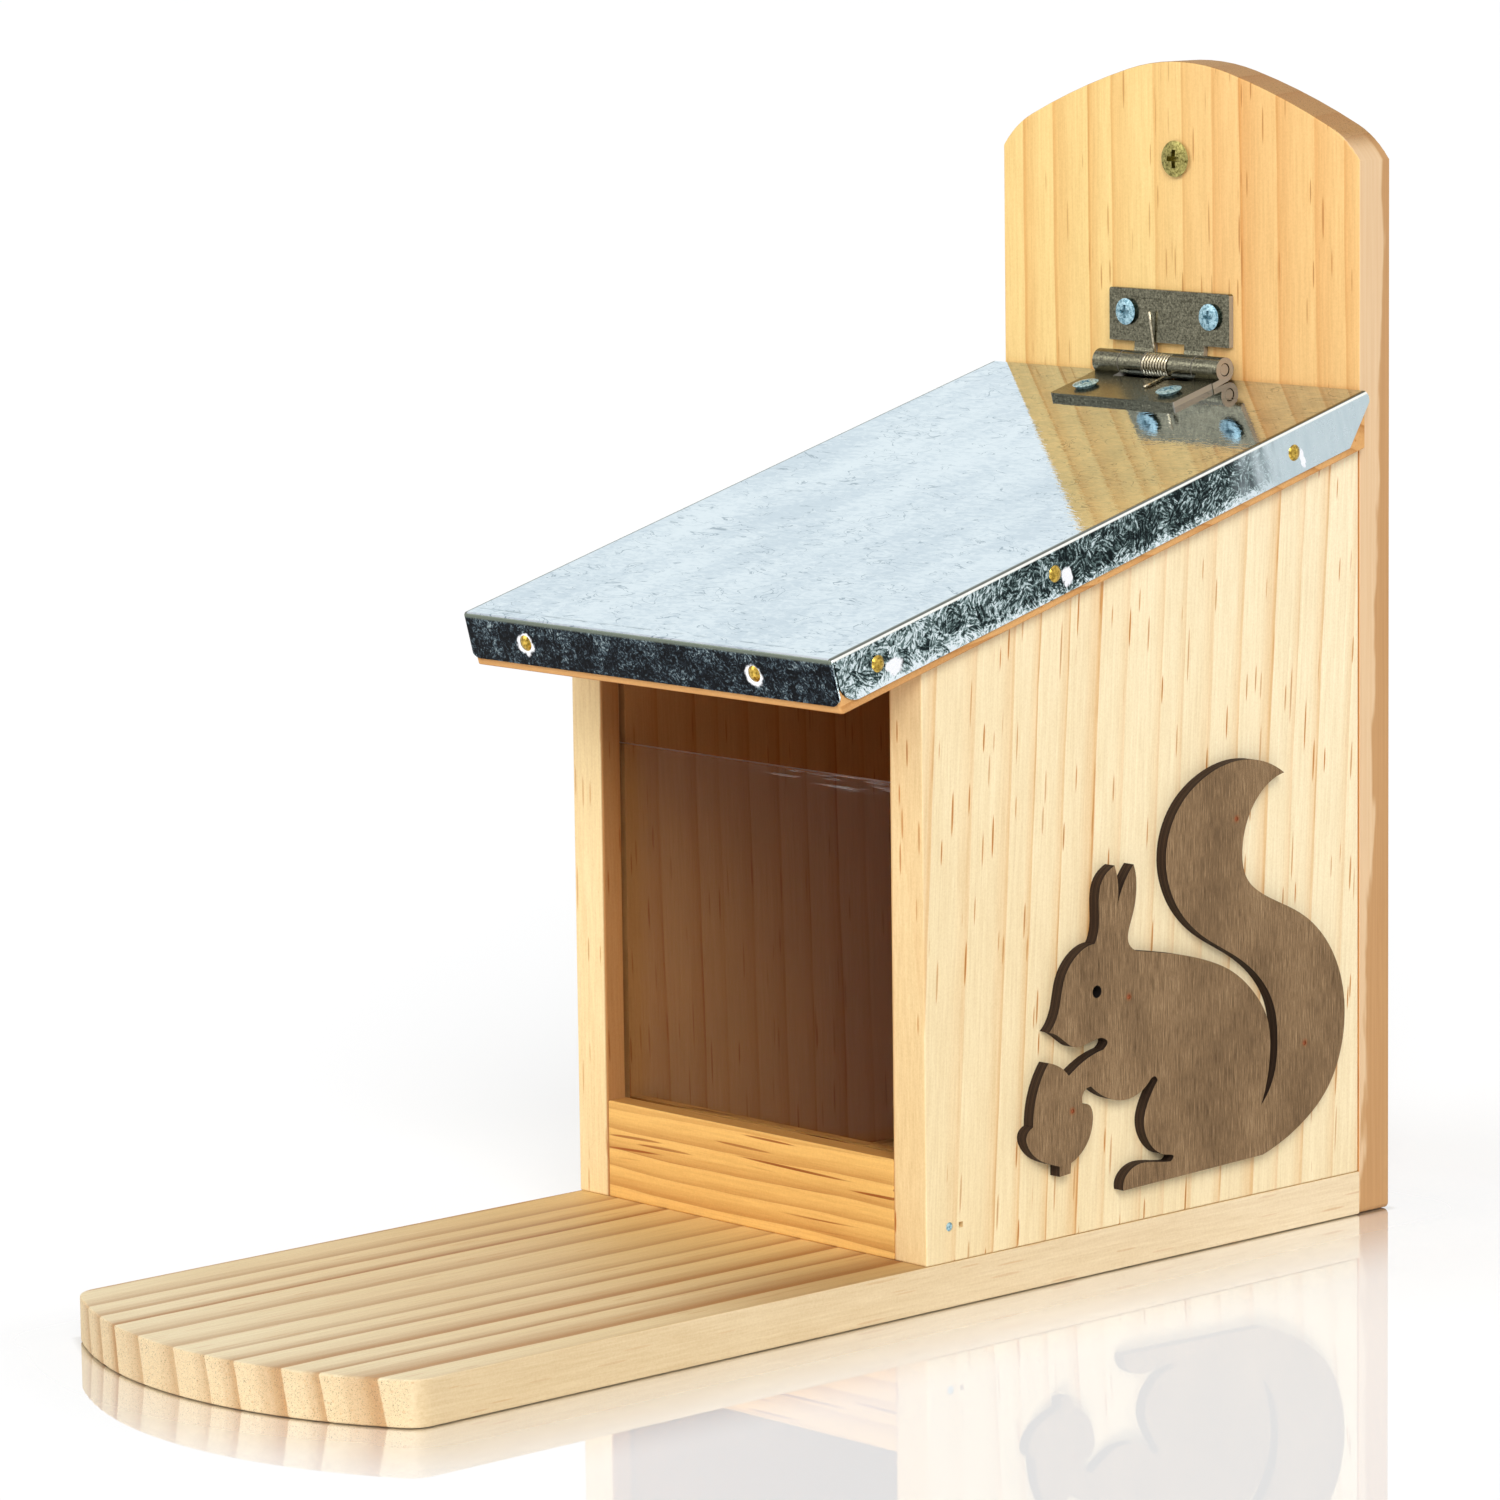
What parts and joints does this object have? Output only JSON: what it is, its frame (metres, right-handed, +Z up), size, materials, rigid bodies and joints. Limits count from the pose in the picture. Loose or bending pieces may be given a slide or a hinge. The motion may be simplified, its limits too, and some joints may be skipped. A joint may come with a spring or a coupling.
{
  "type": "squirrel feeder",
  "caption": "Wooden squirrel feeder: a nut house with a sprung sheet-covered lid and a clear front pane, on a long shelf board with an arched back board.",
  "frame": {"origin": "on the floor under the shelf board, at the middle of the overall width and of the overall depth", "axes": "+Z up, -Y towards the shelf's rounded front end, +Y towards the wall or tree behind the back board, +X towards the side with the squirrel figure"},
  "size_m": [0.1442, 0.403, 0.3119],
  "materials": {
    "pine_shelf": "bare planed pine",
    "pine_back": "bare planed pine",
    "pine_panel": "bare planed pine",
    "pine_rail": "bare planed pine",
    "pine_lid": "bare planed pine",
    "clear_sheet": "clear plastic sheet",
    "galvanised_sheet": "galvanised, matte",
    "brass_nail": "satin",
    "hinge_steel": "dark, worn",
    "spring_steel": "pale drawn wire",
    "zinc_screw": "zinc plated",
    "yellow_zinc_screw": "yellow zinc plated",
    "stained_plywood": "dark stained thin plywood",
    "rusty_brad": "rusty"
  },
  "bodies": {
    "house": {"base_board": "pine_shelf", "back_board": "pine_back", "left_panel": "pine_panel", "right_panel": "pine_panel", "front_rail": "pine_rail", "hinge_wall_leaf": "hinge_steel", "hinge_pin": "hinge_steel", "hinge_spring": "spring_steel", "hinge_wall_screws": "zinc_screw", "hanging_screw": "yellow_zinc_screw", "base_screws": "yellow_zinc_screw", "panel_back_screws": "yellow_zinc_screw", "shelf_back_screws": "yellow_zinc_screw", "rail_nails": "zinc_screw", "squirrel_figure": "stained_plywood", "figure_brads": "rusty_brad"},
    "lid": {"roof_board": "pine_lid", "roof_sheet": "galvanised_sheet", "roof_nails_front": "brass_nail", "roof_nails_right": "brass_nail", "roof_nails_left": "brass_nail", "hinge_roof_leaf": "hinge_steel", "hinge_roof_screws": "zinc_screw"},
    "pane": {"window_pane": "clear_sheet"}
  },
  "joints": [
    {"name": "lid_hinge", "type": "hinge", "parent": "house", "child": "lid", "pos_m": [0, 0.1482, 0.22884], "axis": [-1, 0, 0], "range_deg": [0, 110], "stiffness_Nm_per_rad": 0.02, "springref_deg": -57.3, "deforming": ["hinge_spring"]},
    {"name": "pane_slide", "type": "slide", "parent": "house", "child": "pane", "axis": [0, 0, 1], "range_m": [0, 0.03]}
  ]
}
